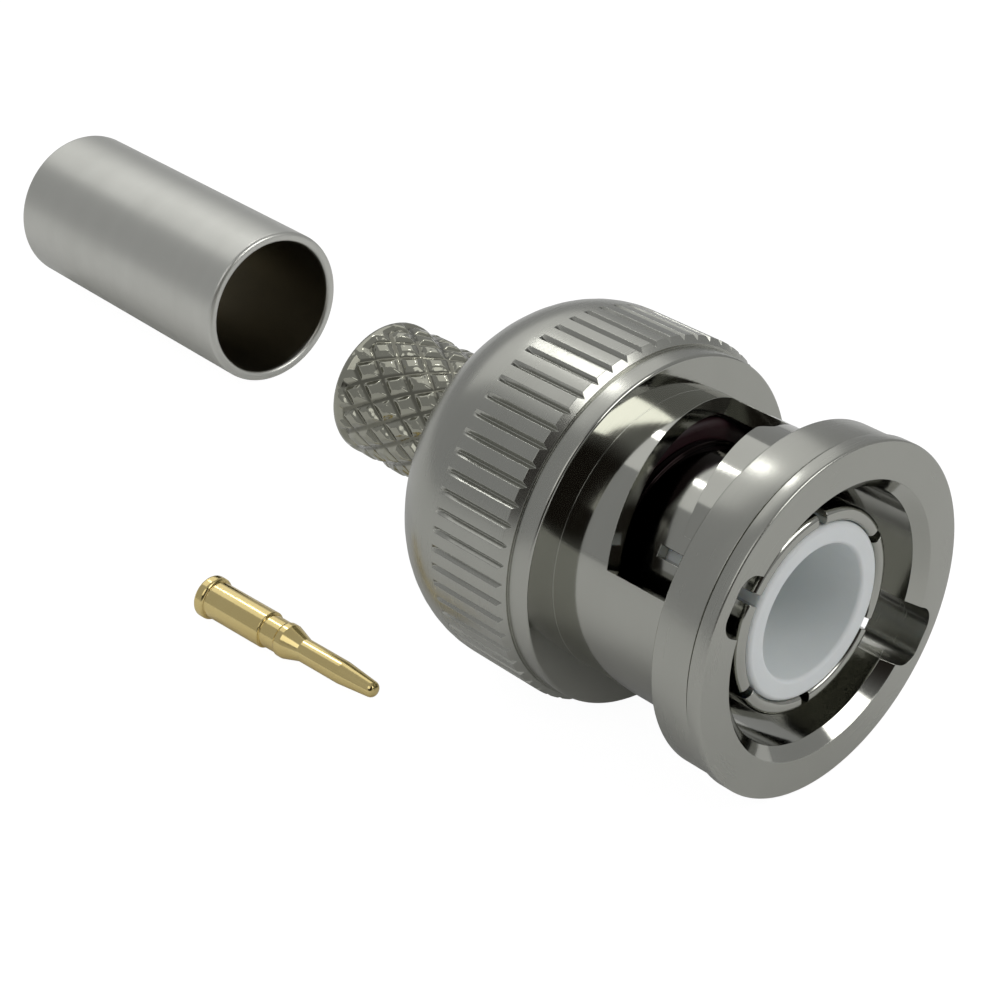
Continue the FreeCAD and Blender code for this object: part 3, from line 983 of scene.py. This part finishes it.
# %% Floor
sheet_reach = 2000
sheet_gap = 0.02
sheet = Skin()
span = np.linspace(-sheet_reach, sheet_reach, 3)
level = np.full((3, 3), -grip_radius - sheet_gap)
sheet.grid(np.stack([*np.meshgrid(span, span, indexing="ij"), level], -1))
floor_sheet = bpy.data.objects.new("white_sheet", sheet.mesh("white_sheet"))
bpy.context.scene.collection.objects.link(floor_sheet)

paper = Finish("white sheet")
paper_place = paper.place()
paper_tone = paper.noise(paper_place, 60.0, 2.0)
paper.set(Base_Color=paper.mix(paper_tone, (0.93, 0.93, 0.93, 1), (0.95, 0.95, 0.95, 1)),
          Roughness=0.9, Specular_IOR_Level=0.1)
glow = paper.node("ShaderNodeEmission", {}, {"Color": (1, 1, 1, 1), "Strength": 1.175})
seen = paper.node("ShaderNodeLightPath")
mirrored = Value(paper, seen.socket.node.outputs["Is Glossy Ray"])
glow_share = seen * 0.82 + mirrored * 0.025
lit_side = Value(paper, paper.shader.outputs[0])
shown = paper.node("ShaderNodeMixShader", {}, {0: glow_share, 1: lit_side, 2: glow})
paper.links.new(shown.socket, paper.nodes["Material Output"].inputs["Surface"])
dress(floor_sheet, paper)

# %% Lamps and sky
centre = Vector((-12, 0, 0)) * mm


def softbox(name, position, width, height, watts):
    """A rectangular lamp that faces the plug."""
    lamp = bpy.data.lights.new(name, "AREA")
    lamp.shape = "RECTANGLE"
    lamp.size = width
    lamp.size_y = height
    lamp.energy = watts
    stand = bpy.data.objects.new(name, lamp)
    stand.location = position
    stand.rotation_mode = "QUATERNION"
    stand.rotation_quaternion = (centre - stand.location).to_track_quat("-Z", "Y")
    bpy.context.scene.collection.objects.link(stand)


softbox("key", Vector((0.291, 0.109, 0.288)), 0.24, 0.15, 0.46)
softbox("side", Vector((0.06, -0.30, 0.30)), 0.30, 0.24, 0.22)
softbox("back", Vector((-0.27, 0.10, 0.27)), 0.40, 0.30, 0.20)
softbox("window", Vector((-0.245, 0.091, 0.314)), 0.04, 0.04, 0.05)


class Sky(Finish):
    """The world, whose colour may depend on the direction that is looked in."""

    def __init__(self, name):
        world = bpy.data.worlds.new(name)
        world.use_nodes = True
        bpy.context.scene.world = world
        self.nodes = world.node_tree.nodes
        self.links = world.node_tree.links
        self.shader = self.nodes["Background"]


sky = Sky("studio")
direction = sky.node("ShaderNodeTexCoord")
towards = sky.node("ShaderNodeVectorMath", {"operation": "DOT_PRODUCT"},
                   {0: direction, 1: (0.62, -0.6, 0.5)}, output=1)
dark_side = sky.step(towards, 0.72, 0.92)
sky.set(Color=sky.mix(dark_side, (0.97, 0.98, 1.0, 1), (0.06, 0.05, 0.042, 1)), Strength=0.38)

# %% Camera
camera_data = bpy.data.cameras.new("camera")
camera_data.sensor_width = 36
camera_data.lens = 85.73
camera_data.clip_start = 0.005
camera_data.clip_end = 10
camera = bpy.data.objects.new("camera", camera_data)
camera.location = Vector((42.77, -55.33, 46.20)) * mm
look = Vector((-0.62363, 0.58731, -0.51590))
camera.rotation_mode = "QUATERNION"
camera.rotation_quaternion = look.to_track_quat("-Z", "Y")
bpy.context.scene.collection.objects.link(camera)
bpy.context.scene.camera = camera

bpy.context.scene.view_settings.view_transform = "Standard"
